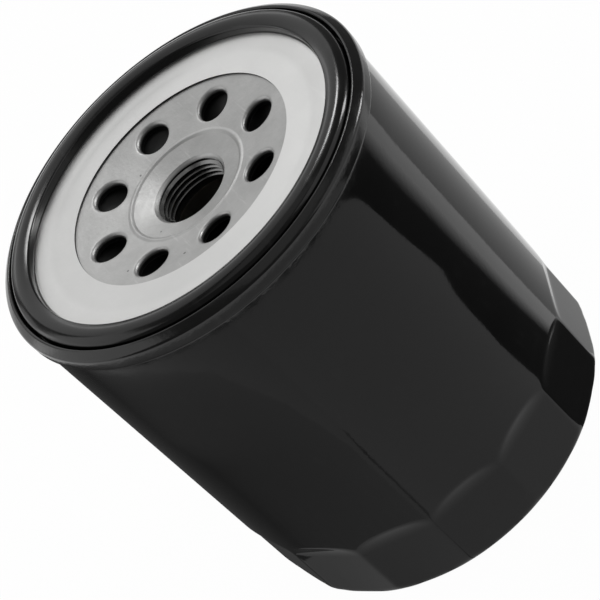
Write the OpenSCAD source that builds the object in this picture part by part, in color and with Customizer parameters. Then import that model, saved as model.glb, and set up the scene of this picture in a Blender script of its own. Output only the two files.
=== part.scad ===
// Spin-on oil filter, built as it comes apart on a bench: a drawn canister with wrench flats,
// a rolled seam, a threaded plate, and the element, valves and springs that it seals in.
// The foot stands at z = 0, the axis is +Z, and the threaded plate faces up. Millimetres.

/* [Canister] */
// Outside diameter of the drawn canister
can_d = 108; // [104:0.5:112]
// Height of the rolled rim's inner edge above the foot
can_h = 118.5; // [108.5:0.5:138.5]
// Sheet thickness of the canister
can_wall = 0.5; // [0.4:0.05:0.65]
// Outer radius between the wall and the closed end
foot_round = 4.5; // [3:0.25:6]
// Diameter of the shallow recess in the closed end
recess_d = 76; // [60:1:80]
// Depth of that recess
recess_depth = 2; // [1:0.25:3]

/* [Wrench flats] */
// Number of flats round the closed end
flat_count = 15; // [12:1:18]
// Height of the straight top edge of the flats
flat_top = 23.3; // [18:0.1:28]
// Height over which the sloped shoulder runs out above a flat
flat_shoulder = 3.2; // [2:0.1:5]
// How far the corners between flats stay inside the canister's radius
corner_drop = 0.07; // [0.03:0.01:0.3]

/* [Rolled seam] */
// Height of the rolled seam at its inner edge
seam_h = 5.9; // [5.5:0.1:6.5]
// Fall of the seam's sloped top from its inner to its outer edge
seam_fall = 2; // [1.5:0.1:2.3]
// How far the wall is necked in below the seam
seam_neck = 0.6; // [0.5:0.05:0.7]
// Space between the layers of the seam
seam_gap = 0.12; // [0.05:0.01:0.15]
// Space left at the end of each hook, where the sealant gathers
hook_space = 0.3; // [0.3:0.05:0.5]
// Outer corner radius of the seam's top
seam_round = 1.2; // [1:0.05:1.4]

/* [Seaming lid] */
// Sheet thickness of the lid
lid_sheet = 0.45; // [0.4:0.05:0.55]
// Diameter of the lid's round window over the plate
lid_bore_d = 65.4; // [64:0.2:72]
// Depth of the lid's flat land below the rim
land_drop = 2.23; // [1.9:0.01:2.6]
// Width of the slope from the crease up to the gasket groove
slope_w = 5.8; // [4.5:0.1:6.5]
// Rise of the lid from the crease to the ridge beside the gasket
ridge_rise = 0.55; // [0.3:0.05:0.8]
// Space between the lid and the plate welded under it
lid_gap = 0.02; // [0.01:0.01:0.1]
// Depth of the gasket groove below the rim
groove_depth = 4.9; // [4.3:0.1:5.3]

/* [Gasket] */
// Radial width of the sealing gasket
gasket_w = 5.8; // [5:0.1:6.4]
// Height of the gasket above the groove's floor
gasket_h = 6; // [5:0.1:7]
// Radius of the gasket's outer crown, beside the flat sealing face
crown_round = 2.4; // [1.5:0.1:2.8]
// Open space between the gasket and the seam
gasket_gap = 0.65; // [0.4:0.05:1.2]
// Clearance where the gasket sits in its groove
groove_clearance = 0.05; // [0.02:0.01:0.2]

/* [Threaded plate] */
// Nominal diameter of the thread
thread_d = 20; // [18:0.5:21]
// Pitch of the thread
thread_pitch = 1.5; // [1:0.25:1.5]
// Thickness of the plate
plate_t = 2.5; // [2:0.1:3]
// Width of the flat seat between the dish and the crease
seat_w = 7; // [6.6:0.1:7.2]
// Drop of the dish from the lid's seat to the fold
dish_drop = 2.6; // [2:0.05:3]
// Diameter of the fold round the mouth
fold_d = 34; // [32:0.5:36]
// Width of the raised bead on the fold
bead_w = 1.6; // [1.2:0.1:2]
// Height of that bead
bead_h = 0.6; // [0.4:0.05:0.8]
// Drop of the funnel from the fold to the mouth
funnel_drop = 1.55; // [1:0.05:2]
// Width of the chamfer at the mouth of the thread
mouth_chamfer = 1.65; // [1:0.05:1.9]
// Depth of the neck's end below the lid's seat
neck_depth = 11.8; // [10.5:0.05:14]
// Wall of the neck outside the thread's minor diameter
neck_wall = 3.3; // [2.6:0.1:3.8]

/* [Inlet holes] */
// Number of inlet holes
hole_count = 8; // [5:1:9]
// Diameter of each inlet hole
hole_d = 9.1; // [7:0.1:9.6]
// Diameter of the circle through the holes' centres
hole_circle_d = 49.5; // [48.5:0.1:50.5]
// Angle of the first hole from the +X axis
hole_phase = -5.7; // [-22:0.1:22]
// Radius of the rounded rim on each hole
hole_rim = 0.6; // [0.4:0.1:0.8]

/* [Anti-drain valve] */
// Thickness of the rubber clamped under the neck
washer_t = 1.7; // [1.2:0.1:2.5]
// Thickness of the rubber flap
flap_t = 1.2; // [0.8:0.1:1.6]
// Diameter of the flap's sealing lip
lip_d = 68; // [66:0.5:72]
// Clearance between the lip and the plate
lip_clearance = 0.1; // [0.05:0.05:0.3]

/* [Element] */
// Sheet thickness of the end caps
cap_sheet = 0.5; // [0.4:0.05:0.7]
// Oil space between the end caps and the canister
oil_gap = 5.9; // [4:0.1:8]
// Depth of the end caps' skirts
skirt_h = 6; // [4:0.5:9]
// Height of the lower end cap above the foot
element_floor = 20; // [18:0.5:24]
// Outside diameter of the perforated centre tube
tube_d = 30; // [29:0.5:33]
// Sheet thickness of the centre tube
tube_wall = 0.4; // [0.3:0.05:0.6]
// Diameter of the perforations
perforation_d = 4.5; // [3:0.25:5]
// Height from one row of perforations to the next
perforation_pitch = 9; // [8:0.5:14]
// Number of perforations in a row
perforation_count = 8; // [4:2:10]
// Number of pleats in the paper
pleat_count = 48; // [36:1:52]
// Thickness of the filter paper
paper_t = 0.5; // [0.35:0.05:0.55]
// Half the width of a pleat at its outer fold
fold_half = 0.9; // [0.8:0.05:1.2]
// Depth of the adhesive beds that hold the paper's ends
adhesive_h = 2.2; // [1.5:0.1:3]
// Length of the metal clip's legs over the paper's joint
clip_leg = 6; // [4:0.5:9]

/* [Bypass valve] */
// Inside diameter of the valve's pressed bowl
bowl_d = 23; // [22:0.5:24]
// Depth of the valve seat below the lower end cap
bowl_depth = 3.2; // [2.5:0.1:4]
// Sheet thickness of the valve's pressed parts
valve_sheet = 0.8; // [0.6:0.05:1]
// Diameter of the orifice in the seat
orifice_d = 16; // [12:0.5:17]
// Radial clearance round the valve disc
disc_clearance = 1; // [0.6:0.1:1.4]
// Thickness of the rubber seal
seal_t = 1.5; // [1:0.1:2]
// Diameter of the guide pin
pin_d = 4; // [3:0.25:5]
// Radial clearance of the pin in its guide
pin_clearance = 0.15; // [0.1:0.05:0.3]
// Height of the cage above the lower end cap
cage_h = 18; // [16:0.5:22]
// Wire diameter of the bypass spring
wire_d = 1.2; // [0.9:0.1:1.5]
// Mean diameter of the bypass spring
coil_d = 13; // [11:0.5:15]
// Number of turns in the bypass spring
coil_turns = 6; // [4:1:6]

/* [Element spring] */
// Sheet thickness of the leaf spring under the element
leaf_t = 0.8; // [0.6:0.05:1]
// Number of its legs
leaf_count = 4; // [3:1:5]
// Width of each leg
leaf_w = 12; // [8:0.5:14]

/* [Hidden] */
$fn = 128;

// Corners are rounded with this many straight steps
arc_steps = 5;
// Cutters run this far past what they cut
spare = 1;

// Canister
can_r = can_d / 2;
flat_angle = 360 / flat_count;
flat_r = (can_r - corner_drop) * cos(flat_angle / 2);
flat_run = can_r - flat_r;
shoulder_turn = atan(flat_run / flat_shoulder);
recess_r = recess_d / 2;

// Rolled seam, from its inner wall outwards: lid, canister, lid hook, canister hook, lid
seam_top = can_h;
seam_bottom = seam_top - seam_h;
neck_in_r = can_r - seam_neck;
chuck_r = neck_in_r - can_wall - seam_gap - lid_sheet;
cover_hook_r = neck_in_r + seam_gap;
body_hook_r = cover_hook_r + lid_sheet + seam_gap + can_wall;
seam_r = body_hook_r + seam_gap + lid_sheet;
seam_tilt = atan(seam_fall / (seam_r - chuck_r));
// Height, at radius r, of a layer that lies this deep under the seam's sloped top
function layer_z(r, depth) = seam_top - (r - chuck_r) * tan(seam_tilt) - depth / cos(seam_tilt);
can_edge_depth = lid_sheet + seam_gap;
seam_foot_round = lid_sheet + can_wall;
cover_hook_top = layer_z(cover_hook_r + lid_sheet, can_edge_depth + can_wall) - seam_gap;
cover_hook_z = cover_hook_top - hook_space;
body_hook_z = seam_bottom + seam_foot_round + hook_space;
neck_run = 0.6;
edge_bend = 0.05;
hook_bend = 0.15;
rim_join_z = seam_bottom - 2 * neck_run;

// Gasket and its groove
gasket_out_r = chuck_r - gasket_gap;
gasket_in_r = gasket_out_r - gasket_w;
groove_in_r = gasket_in_r - groove_clearance;
groove_z = seam_top - groove_depth;
gasket_top = groove_z + gasket_h;
// Corner radii of the gasket's inner crown and of its foot
inner_round = 0.9;
gasket_foot_round = 0.4;

// Lid
land_z = seam_top - land_drop;
crease_r = groove_in_r - slope_w;
ridge_z = land_z + ridge_rise;
ridge_angle = atan(ridge_rise / slope_w);
// Bend radii of the lid, from the crease to the seam's inner edge
crease_round = 4;
ridge_round = 0.7;
groove_in_round = 0.3;
groove_out_round = 0.4;
chuck_round = 0.65;

// Threaded plate
thread_depth = 1.0825 * thread_pitch;
thread_r = (thread_d - thread_depth) / 2;
mouth_r = thread_r + mouth_chamfer;
under_lid = lid_sheet + lid_gap;
plate_z = land_z - under_lid;
plate_clearance = 0.4;
plate_r = groove_in_r - lid_sheet - plate_clearance;
plate_crease_r = crease_r + under_lid * tan(ridge_angle / 2);
plate_edge_z = plate_z + (plate_r - plate_crease_r) * tan(ridge_angle);
dish_r = crease_r - seat_w;
fold_r = fold_d / 2;
fold_z = plate_z - dish_drop;
dish_angle = atan(dish_drop / (dish_r - fold_r));
mouth_z = fold_z - funnel_drop;
funnel_angle = atan(funnel_drop / (fold_r - mouth_r));
neck_r = thread_r + neck_wall;
neck_z = plate_z - neck_depth;
neck_chamfer = 0.8;
// Bend radii of the plate, and the shape of its underside
mouth_round = 0.3;
bead_round = 0.6;
bead_foot_round = 0.4;
dish_round = 4;
edge_round = 0.4;
under_fold_run = 1.2;
under_fold_round = 3;
root_drop = 2.6;
root_round = 2;
neck_round = 0.5;
hole_r = hole_d / 2;
hole_circle_r = hole_circle_d / 2;
hole_z = fold_z + (hole_circle_r - fold_r) * tan(dish_angle);

// Anti-drain valve
washer_inset = 0.6;
washer_in_r = thread_r + neck_chamfer + washer_inset;
washer_flange = 3.5;
washer_out_r = neck_r + washer_flange;
collar_wall = 1.8;
collar_r = neck_r + collar_wall;
collar_h = 2.4;
lip_r = lip_d / 2;
lip_z = fold_z - plate_t + min((lip_r - fold_r) * tan(dish_angle), dish_drop) - lip_clearance;
// The lip's edge, and the curve of the flap behind it
lip_edge = 0.8;
lip_back = 4;
lip_drop = 1.2;
flap_back = 3;
flap_drop = 1.4;
flap_round = 6;
lip_curve = 3;
root_curve = 2;
washer_round = 1;
collar_round = 0.5;
lip_round = 0.2;

// Element
top_cap_z = neck_z - washer_t;
cap_r = can_r - can_wall - oil_gap;
cap_in_r = cap_r - cap_sheet;
tube_r = tube_d / 2;
tube_in_r = tube_r - tube_wall;
tube_floor = element_floor + cap_sheet;
tube_top = top_cap_z - cap_sheet;
media_z = tube_floor + adhesive_h;
media_h = tube_top - adhesive_h - media_z;
cap_round = 1;
element_clearance = 0.1;
adhesive_clearance = 0.6;
media_clearance = 0.6;
media_in_r = tube_r + media_clearance;
clip_sheet = 0.4;
clip_clearance = 0.4;
media_out_r = cap_in_r - element_clearance - clip_sheet - clip_clearance;
pleat_angle = 360 / pleat_count;
root_gap = 0.4;
root_half = media_in_r * sin(pleat_angle / 2) - root_gap;
row_count = floor((tube_top - tube_floor - perforation_pitch) / perforation_pitch);
row_z = (tube_top + tube_floor - (row_count - 1) * perforation_pitch) / 2;

// Bypass valve
bowl_r = bowl_d / 2;
seat_z = element_floor - bowl_depth;
seat_flange_w = 4;
seat_flange_r = tube_r + seat_flange_w;
bowl_round = 0.6;
orifice_r = orifice_d / 2;
disc_r = bowl_r - disc_clearance;
disc_z = seat_z + seal_t;
disc_top = disc_z + valve_sheet;
hub_clearance = 1;
hub_h = 1.2;
cage_clearance = 0.2;
cage_foot_r = tube_in_r - cage_clearance;
cage_z = tube_floor + cage_h;
cage_round = 1.4;
cage_foot_round = 0.5;
pin_r = pin_d / 2;
pin_head_w = 2;
pin_head_r = pin_r + pin_head_w;
pin_head_h = 1;
pin_head_round = 0.5;
pin_stub = 3;
pin_top = cage_z + pin_stub;
pin_end_round = 0.6;
guide_r = pin_r + pin_clearance;
window_w = 13;
window_sill = 2.5;

// Bypass spring, one helix with a close turn at each end
wire_r = wire_d / 2;
coil_r = coil_d / 2;
seat_clearance = 0.05;
coil_z = disc_top + wire_r + seat_clearance;
coil_rise = cage_z - valve_sheet - wire_r - seat_clearance - coil_z;
end_gap = 0.6;
end_pitch = wire_d + end_gap;
turn_rings = 8;
wire_sides = 6;
ring_count = coil_turns * turn_rings + 1;

// Element spring
leaf_clearance = 1.5;
leaf_in_r = seat_flange_r + leaf_clearance;
leaf_ring_w = 6.5;
leaf_out_r = leaf_in_r + leaf_ring_w;
toe_inset = 3;
leaf_toe_r = recess_r + toe_inset;
// A leg's overlap with the ring, its bends, its flat toe and the turned-up tip
leg_root = 4;
leg_start = 1;
leg_round = 3;
toe_round = 1.5;
toe_w = 3;
tip_w = 2;
tip_rise = 2;

// Plane geometry
function unit(v) = v / norm(v);
function left_of(v) = [-v[1], v[0]];
function flat(p) = [p[0], p[1]];

// Points that round the corner b of the line a, b, c with radius r
function bend(a, b, c, r) =
    let (u = unit(a - b), w = unit(c - b))
    let (half = acos(u * w) / 2, centre = b + unit(u + w) * r / sin(half))
    let (start = b + u * r / tan(half) - centre)
    let (from = atan2(start[1], start[0]), sweep = sign(cross(b - a, c - b)) * (180 - 2 * half))
    [for (i = [0:arc_steps]) let (t = from + sweep * i / arc_steps) centre + r * [cos(t), sin(t)]];

// One corner [x, y] or [x, y, radius] between its neighbours
function corner(a, b, c) = len(b) < 3 || b[2] == 0 ? [flat(b)] : bend(flat(a), flat(b), flat(c), b[2]);

// An open line and a closed outline whose corners are rounded
function bent_line(p) =
    let (last = len(p) - 1)
    [for (i = [0:last]) each i == 0 || i == last ? [flat(p[i])] : corner(p[i - 1], p[i], p[i + 1])];
function bent_outline(p) =
    let (n = len(p))
    [for (i = [0:n - 1]) each corner(p[(i + n - 1) % n], p[i], p[(i + 1) % n])];

// The left-hand normal of a line at point i, drawn out so that a parallel line keeps its distance
function mitre(p, i) =
    let (last = len(p) - 1)
    let (before = left_of(unit(p[max(i, 1)] - p[max(i, 1) - 1])))
    let (after = left_of(unit(p[min(i, last - 1) + 1] - p[min(i, last - 1)])))
    let (middle = unit(before + after))
    middle / (middle * before);

// A sheet of thickness t on the right of a bent line
function sheet(p, t) =
    let (line = bent_line(p), last = len(line) - 1)
    concat(line, [for (i = [last:-1:0]) line[i] - t * mitre(line, i)]);

module turned(outline) rotate_extrude() polygon(outline);

module ring(r_out, r_in, h)
    rotate_extrude() translate([r_in, 0]) square([r_out - r_in, h]);

// Canister
module can_form(inset, top) {
    shift = inset * tan(22.5);
    section = [[0, recess_depth + inset],
               [recess_r - recess_depth + shift, recess_depth + inset],
               [recess_r + shift, inset],
               [can_r - inset, inset, foot_round - inset],
               [can_r - inset, top],
               [0, top]];
    difference() {
        turned(bent_outline(section));
        for (k = [0:flat_count - 1]) rotate(k * flat_angle) flat_cut(inset);
    }
}

// What one wrench flat takes away: its upright face and the sloped shoulder above it
module flat_cut(inset) {
    face = flat_r - inset;
    face_top = flat_top + inset * tan(shoulder_turn / 2);
    far = face + 2 * flat_run + spare;
    far_z = face_top + 2 * flat_shoulder;
    rotate([90, 0, 0])
        linear_extrude(height = 2 * far * sin(flat_angle), center = true)
            polygon([[face, inset - spare], [face, face_top], [face + 2 * flat_run, far_z],
                     [far, far_z], [far, inset - spare]]);
}

module canister() color("#1b1b1c") {
    wall_in_r = can_r - can_wall;
    throat_r = neck_in_r - can_wall;
    rim = [[wall_in_r, rim_join_z - neck_run],
           [wall_in_r, rim_join_z + neck_run, neck_run / 2],
           [throat_r, rim_join_z + 2 * neck_run, neck_run / 2],
           [throat_r, layer_z(throat_r, can_edge_depth), can_wall + edge_bend],
           [body_hook_r, layer_z(body_hook_r, can_edge_depth), can_wall + hook_bend],
           [body_hook_r, body_hook_z]];
    union() {
        difference() {
            can_form(0, rim_join_z);
            can_form(can_wall, rim_join_z + spare);
        }
        turned(sheet(rim, can_wall));
    }
}

module seaming_lid() color("#c9c9c7")
    turned(sheet([[lid_bore_d / 2, land_z],
                  [crease_r, land_z, crease_round],
                  [groove_in_r, ridge_z, ridge_round],
                  [groove_in_r, groove_z, groove_in_round],
                  [chuck_r, groove_z, groove_out_round],
                  [chuck_r, seam_top, chuck_round],
                  [seam_r, seam_top - seam_fall, seam_round],
                  [seam_r, seam_bottom, seam_foot_round],
                  [cover_hook_r, seam_bottom, lid_sheet + seam_gap],
                  [cover_hook_r, cover_hook_z]], lid_sheet));

module seam_sealant() color("#5a5a58")
    translate([0, 0, cover_hook_z])
        ring(cover_hook_r + lid_sheet - can_wall / 4, cover_hook_r, hook_space);

// Threaded plate: a thick dished pressing with the neck drawn down from its middle
module hole_cutter() {
    ring_r = hole_r + hole_rim;
    rim = bend([hole_r, -2 * hole_rim], [hole_r, 0], [ring_r + spare, 0], hole_rim);
    rotate([0, -dish_angle, 0])
        turned(concat([[0, -hole_rim]], rim, [[ring_r, spare], [0, spare]]));
    translate([0, 0, -2 * plate_t]) cylinder(r = hole_r, h = 2 * plate_t);
}

module base_plate() color("#b4b4b1") {
    step = plate_t * tan(dish_angle / 2);
    section = [[thread_r, neck_z + neck_chamfer],
               [thread_r, mouth_z - mouth_chamfer],
               [mouth_r, mouth_z, mouth_round],
               [fold_r - bead_w / 2, fold_z - bead_w / 2 * tan(funnel_angle), bead_foot_round],
               [fold_r, fold_z + bead_h, bead_round],
               [fold_r + bead_w / 2, fold_z + bead_w / 2 * tan(dish_angle), bead_foot_round],
               [dish_r, plate_z, dish_round],
               [plate_crease_r, plate_z, crease_round + under_lid],
               [plate_r, plate_edge_z, edge_round],
               [plate_r, plate_edge_z - plate_t, edge_round],
               [plate_crease_r, plate_z - plate_t, crease_round],
               [dish_r - step, plate_z - plate_t, dish_round],
               [fold_r + under_fold_run, fold_z - plate_t, under_fold_round],
               [neck_r, fold_z - plate_t - root_drop, root_round],
               [neck_r, neck_z, neck_round],
               [thread_r + neck_chamfer, neck_z]];
    difference() {
        turned(bent_outline(section));
        for (k = [0:hole_count - 1])
            rotate(hole_phase + k * 360 / hole_count) translate([hole_circle_r, 0, hole_z]) hole_cutter();
    }
}

module gasket() color("#161616")
    turned(bent_outline([[gasket_in_r, groove_z + groove_clearance, gasket_foot_round],
                         [gasket_in_r, gasket_top, inner_round],
                         [gasket_out_r, gasket_top, crown_round],
                         [gasket_out_r, groove_z + groove_clearance, gasket_foot_round]]));

// Rubber clamped under the neck, with a collar up the neck and a flap that closes the inlet holes
module anti_drain_valve() color("#2a2523") {
    root_z = neck_z - washer_t;
    turned(bent_outline([[washer_in_r, root_z],
                         [washer_out_r, root_z, washer_round],
                         [lip_r - flap_back, lip_z - flap_t - flap_drop, flap_round],
                         [lip_r, lip_z - flap_t / 2, lip_round],
                         [lip_r - lip_edge, lip_z, lip_round],
                         [lip_r - lip_back, lip_z - lip_drop, lip_curve],
                         [washer_out_r, neck_z + flap_t, root_curve],
                         [collar_r, neck_z + collar_h, collar_round],
                         [neck_r + groove_clearance, neck_z + collar_h],
                         [neck_r + groove_clearance, neck_z],
                         [washer_in_r, neck_z]]));
}

// Element
module top_end_cap() color("#a9aaa6")
    turned(sheet([[washer_in_r, top_cap_z],
                  [cap_r, top_cap_z, cap_round],
                  [cap_r, top_cap_z - skirt_h]], cap_sheet));

module bottom_end_cap() color("#a9aaa6")
    turned(sheet([[cap_r, element_floor + skirt_h],
                  [cap_r, element_floor, cap_round],
                  [bowl_r, element_floor]], cap_sheet));

module adhesive_bed(z) color("#7d5a3c")
    translate([0, 0, z]) ring(cap_in_r - adhesive_clearance, tube_r + element_clearance, adhesive_h);

module top_adhesive() adhesive_bed(tube_top - adhesive_h);

module bottom_adhesive() adhesive_bed(tube_floor);

// A folded band: each pleat is a slim fin, open towards the axis
function pleat_points(r_in, half_in, r_out, half_out) =
    let (fin = [[r_in, -half_in], [r_out, -half_out], [r_out, half_out], [r_in, half_in]])
    [for (k = [0:pleat_count - 1], p = fin)
        let (a = k * pleat_angle)
        [p[0] * cos(a) - p[1] * sin(a), p[0] * sin(a) + p[1] * cos(a)]];

module pleated_media() color("#d9b36b") {
    root_in = root_half - paper_t / 2;
    fold_in = fold_half - paper_t;
    translate([0, 0, media_z])
        linear_extrude(height = media_h)
            difference() {
                polygon(pleat_points(media_in_r + paper_t, root_half, media_out_r, fold_half));
                polygon(pleat_points(media_in_r, root_in, media_out_r - paper_t, fold_in));
            }
}

module media_seam_clip() color("#b8b8b4") {
    inner = fold_half + element_clearance;
    top_r = media_out_r + element_clearance;
    translate([0, 0, media_z])
        linear_extrude(height = media_h)
            difference() {
                translate([top_r - clip_leg, -inner - clip_sheet])
                    square([clip_leg + clip_sheet, 2 * (inner + clip_sheet)]);
                translate([top_r - clip_leg - spare, -inner]) square([clip_leg + spare, 2 * inner]);
            }
}

module centre_tube() color("#b0b0ac")
    difference() {
        translate([0, 0, tube_floor]) ring(tube_r, tube_in_r, tube_top - tube_floor);
        for (row = [0:row_count - 1], k = [0:perforation_count / 2 - 1])
            translate([0, 0, row_z + row * perforation_pitch])
                rotate((k + (row % 2) / 2) * 360 / perforation_count)
                    rotate([90, 0, 0]) cylinder(d = perforation_d, h = 2 * tube_d, center = true, $fn = 32);
    }

// Bypass valve: a pressed bowl with the seat in its floor, and a sprung disc that lifts into the tube
module bypass_seat() color("#b9b9b6")
    turned(sheet([[orifice_r, seat_z],
                  [bowl_r, seat_z, bowl_round],
                  [bowl_r, element_floor, valve_sheet],
                  [seat_flange_r, element_floor]], valve_sheet));

module bypass_seal() color("#1c1c1c")
    translate([0, 0, seat_z]) ring(disc_r, pin_r, seal_t);

module bypass_disc() color("#c4c4c0") {
    hub_r = coil_r - wire_r - hub_clearance;
    turned([[pin_r, disc_z],
            [disc_r, disc_z],
            [disc_r, disc_top],
            [hub_r, disc_top],
            [hub_r - hub_h / 2, disc_top + hub_h],
            [pin_r, disc_top + hub_h]]);
}

module bypass_pin() color("#8f9092")
    turned(bent_outline([[0, seat_z - pin_head_h],
                         [pin_head_r, seat_z - pin_head_h, pin_head_round],
                         [pin_head_r, seat_z],
                         [pin_r, seat_z],
                         [pin_r, pin_top, pin_end_round],
                         [0, pin_top]]));

module bypass_cage() color("#b9b9b6")
    difference() {
        turned(sheet([[guide_r, cage_z],
                      [bowl_r + valve_sheet, cage_z, cage_round],
                      [bowl_r + valve_sheet, tube_floor + valve_sheet, cage_foot_round],
                      [cage_foot_r, tube_floor + valve_sheet]], valve_sheet));
        for (a = [0, 90])
            rotate(a)
                translate([-tube_r, -window_w / 2, tube_floor + window_sill])
                    cube([tube_d, window_w, cage_h - 2 * window_sill]);
    }

// Height of the helix after s turns
function coil_height(s) =
    s < 1 ? s * end_pitch :
    s > coil_turns - 1 ? coil_rise - (coil_turns - s) * end_pitch :
    end_pitch + (s - 1) * (coil_rise - 2 * end_pitch) / (coil_turns - 2);

function coil_point(i) =
    let (s = i / turn_rings)
    [coil_r * cos(360 * s), coil_r * sin(360 * s), coil_z + coil_height(s)];

coil_points = [for (i = [0:ring_count - 1]) coil_point(i)];
coil_gap = min([for (i = [0:ring_count - 1], j = [i + turn_rings - 2:1:ring_count - 1])
    norm(coil_points[i] - coil_points[j])]) - wire_d;
echo(str("bypass spring, least gap between turns: ", coil_gap, " mm"));

module bypass_spring() color("#9a9b9c") {
    points = [for (i = [0:ring_count - 1], side = [0:wire_sides - 1])
        let (turn = 360 * i / turn_rings, a = 360 * side / wire_sides)
        let (r = coil_r + wire_r * cos(a))
        [r * cos(turn), r * sin(turn), coil_points[i][2] + wire_r * sin(a)]];
    quads = [for (i = [0:ring_count - 2], side = [0:wire_sides - 1])
        let (next = (side + 1) % wire_sides)
        [i * wire_sides + side, (i + 1) * wire_sides + side,
         (i + 1) * wire_sides + next, i * wire_sides + next]];
    walls = [for (q = quads) each [[q[0], q[1], q[2]], [q[0], q[2], q[3]]]];
    last = (ring_count - 1) * wire_sides;
    start_cap = [for (side = [1:wire_sides - 2]) [0, side, side + 1]];
    end_cap = [for (side = [1:wire_sides - 2]) [last, last + side + 1, last + side]];
    polyhedron(points, concat(walls, start_cap, end_cap));
}

// A stamped ring under the element, on legs that press on the canister's closed end
module element_spring() color("#97989a") {
    toe_z = can_wall + leaf_t;
    leg = [[leaf_out_r - leg_root, element_floor],
           [leaf_out_r + leg_start, element_floor, leg_round],
           [leaf_toe_r, toe_z, toe_round],
           [leaf_toe_r + toe_w, toe_z, toe_round],
           [leaf_toe_r + toe_w + tip_w, toe_z + tip_rise]];
    union() {
        translate([0, 0, element_floor - leaf_t]) ring(leaf_out_r, leaf_in_r, leaf_t);
        for (k = [0:leaf_count - 1])
            rotate((k + 0.5) * 360 / leaf_count)
                rotate([90, 0, 0])
                    linear_extrude(height = leaf_w, center = true) polygon(sheet(leg, leaf_t));
    }
}

canister();
seaming_lid();
seam_sealant();
base_plate();
gasket();
anti_drain_valve();
top_end_cap();
top_adhesive();
pleated_media();
media_seam_clip();
centre_tube();
bottom_adhesive();
bottom_end_cap();
bypass_seat();
bypass_seal();
bypass_disc();
bypass_pin();
bypass_spring();
bypass_cage();
element_spring();
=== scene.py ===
# %% [markdown]
# # A spin-on oil filter
#
# The filter is a drawn canister in black paint, closed by a threaded plate and a rolled lid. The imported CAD
# model is loaded first, as a fixed frame, and each step then makes one piece or one finish on it.
# Everything is in metres in the CAD frame: the foot stands at z = 0, the axis is +Z and the threaded plate
# faces up. Sizes are written in millimetres, as on a drawing, and a piece is scaled once, when its mesh is
# made.

# %% The frame
import math

import bmesh
import bpy
from mathutils import Matrix, Vector


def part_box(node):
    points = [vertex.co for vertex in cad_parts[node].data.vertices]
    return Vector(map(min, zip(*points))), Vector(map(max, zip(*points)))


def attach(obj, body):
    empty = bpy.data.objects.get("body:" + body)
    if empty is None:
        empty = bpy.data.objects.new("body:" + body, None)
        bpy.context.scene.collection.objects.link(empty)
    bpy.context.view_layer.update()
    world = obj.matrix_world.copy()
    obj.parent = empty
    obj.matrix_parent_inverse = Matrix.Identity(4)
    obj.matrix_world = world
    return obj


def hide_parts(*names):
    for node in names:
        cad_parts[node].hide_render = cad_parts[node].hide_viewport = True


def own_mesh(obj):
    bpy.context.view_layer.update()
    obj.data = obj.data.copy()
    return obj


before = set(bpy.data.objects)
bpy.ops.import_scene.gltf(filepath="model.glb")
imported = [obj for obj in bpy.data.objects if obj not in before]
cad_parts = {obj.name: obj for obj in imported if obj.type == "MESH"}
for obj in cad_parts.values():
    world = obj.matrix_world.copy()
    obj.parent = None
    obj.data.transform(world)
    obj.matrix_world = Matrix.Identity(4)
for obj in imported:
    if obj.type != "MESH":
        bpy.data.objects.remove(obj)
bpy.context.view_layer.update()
MM = 0.001

# %% [markdown]
# ## The camera
#
# The photograph looks down on the plate from about 37 degrees, with the camera rolled by 45 degrees, so
# that the filter seems to lie over to one side. A camera can be aimed with a constraint or with angles.
# Here its three axes are written out, because a roll about the line of sight is then one plain step.

# %% Camera
PITCH = math.radians(36.59)
ROLL = math.radians(45.22)
EYE = Vector((-0.42, -468.41, 410.65)) * MM
LENS = 133.96
SENSOR = 36.0

sight = Vector((0, math.cos(PITCH), -math.sin(PITCH)))
level_up = Vector((0, math.sin(PITCH), math.cos(PITCH)))
across = Vector((1, 0, 0))
camera_right = across * math.cos(ROLL) - level_up * math.sin(ROLL)
camera_up = across * math.sin(ROLL) + level_up * math.cos(ROLL)

camera = bpy.data.objects.new("camera", bpy.data.cameras.new("camera"))
camera.data.lens = LENS
camera.data.sensor_width = SENSOR
axes = Matrix((camera_right, camera_up, -sight)).transposed().to_4x4()
camera.matrix_world = Matrix.Translation(EYE) @ axes
bpy.context.scene.collection.objects.link(camera)
bpy.context.scene.camera = camera
print("camera at", [round(x, 4) for x in EYE])

# %% [markdown]
# ## Node trees in a few words
#
# Materials and geometry trees are both node trees, so one helper serves both: it adds a node, sets its
# options, and gives each input either a value or a link. Two shorter ones stand for the nodes that come
# back most: a sum, and a value that is mapped from one range to another.

# %% Node helpers
def put(tree, kind, inputs=None, **options):
    made = tree.nodes.new(kind)
    for name, value in options.items():
        setattr(made, name, value)
    for key, value in (inputs or {}).items():
        if isinstance(value, bpy.types.NodeSocket):
            tree.links.new(value, made.inputs[key])
        else:
            made.inputs[key].default_value = value
    return made


def math_node(tree, operation, a, b=0.0):
    return put(tree, "ShaderNodeMath", {0: a, 1: b}, operation=operation).outputs[0]


def range_node(tree, value, low, high, to_low=0.0, to_high=1.0, **options):
    limits = {0: value, 1: low, 2: high, 3: to_low, 4: to_high}
    return put(tree, "ShaderNodeMapRange", limits, **options).outputs[0]


def new_tree(name, kind, inputs, outputs):
    tree = bpy.data.node_groups.new(name, kind)
    for label, socket_kind, value in inputs:
        socket = tree.interface.new_socket(label, in_out="INPUT", socket_type=socket_kind)
        if value is not None:
            socket.default_value = value
    for label, socket_kind in outputs:
        tree.interface.new_socket(label, in_out="OUTPUT", socket_type=socket_kind)
    given = tree.nodes.new("NodeGroupInput").outputs
    wanted = tree.nodes.new("NodeGroupOutput").inputs
    return tree, given, wanted


FLOAT, VECTOR, INT = "NodeSocketFloat", "NodeSocketVector", "NodeSocketInt"
GEOMETRY, MATERIAL = "NodeSocketGeometry", "NodeSocketMaterial"
print("node helpers ready")

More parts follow.
